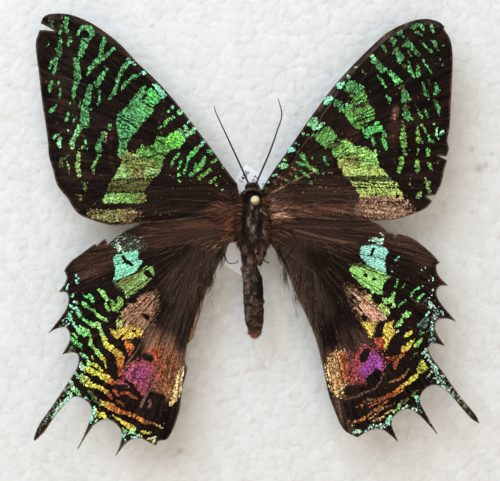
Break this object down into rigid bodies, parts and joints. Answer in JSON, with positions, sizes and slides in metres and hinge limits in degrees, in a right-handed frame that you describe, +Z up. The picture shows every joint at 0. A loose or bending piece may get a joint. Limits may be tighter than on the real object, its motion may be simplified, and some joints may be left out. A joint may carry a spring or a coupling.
{
  "type": "pinned moth specimen on a foam block",
  "caption": "Spread day-flying moth with tailed, brightly banded wings, held on a ball-headed pin above a paper label and a white foam block.",
  "frame": {"origin": "centre of the foam block's underside", "axes": "+Z up along the pin, +Y the way the moth's head points, +X towards the moth's right wings"},
  "size_m": [0.12, 0.115, 0.0456],
  "materials": {
    "foam": "matte",
    "paper": "matte",
    "pin_steel": "satin",
    "pin_ivory": "gloss",
    "wing": "matte",
    "body": "matte",
    "limb": "satin"
  },
  "bodies": {
    "root": {"foam_block": "foam", "data_label": "paper", "pin_shaft": "pin_steel", "pin_head": "pin_ivory", "thorax": "body", "abdomen": "body", "head": "body", "forewing_left": "wing", "forewing_right": "wing", "hindwing_left": "wing", "hindwing_right": "wing", "antenna_left": "limb", "antenna_right": "limb", "foreleg_left": "limb", "foreleg_right": "limb", "midleg_left": "limb", "midleg_right": "limb", "hindleg_left": "limb", "hindleg_right": "limb"}
  },
  "joints": []
}
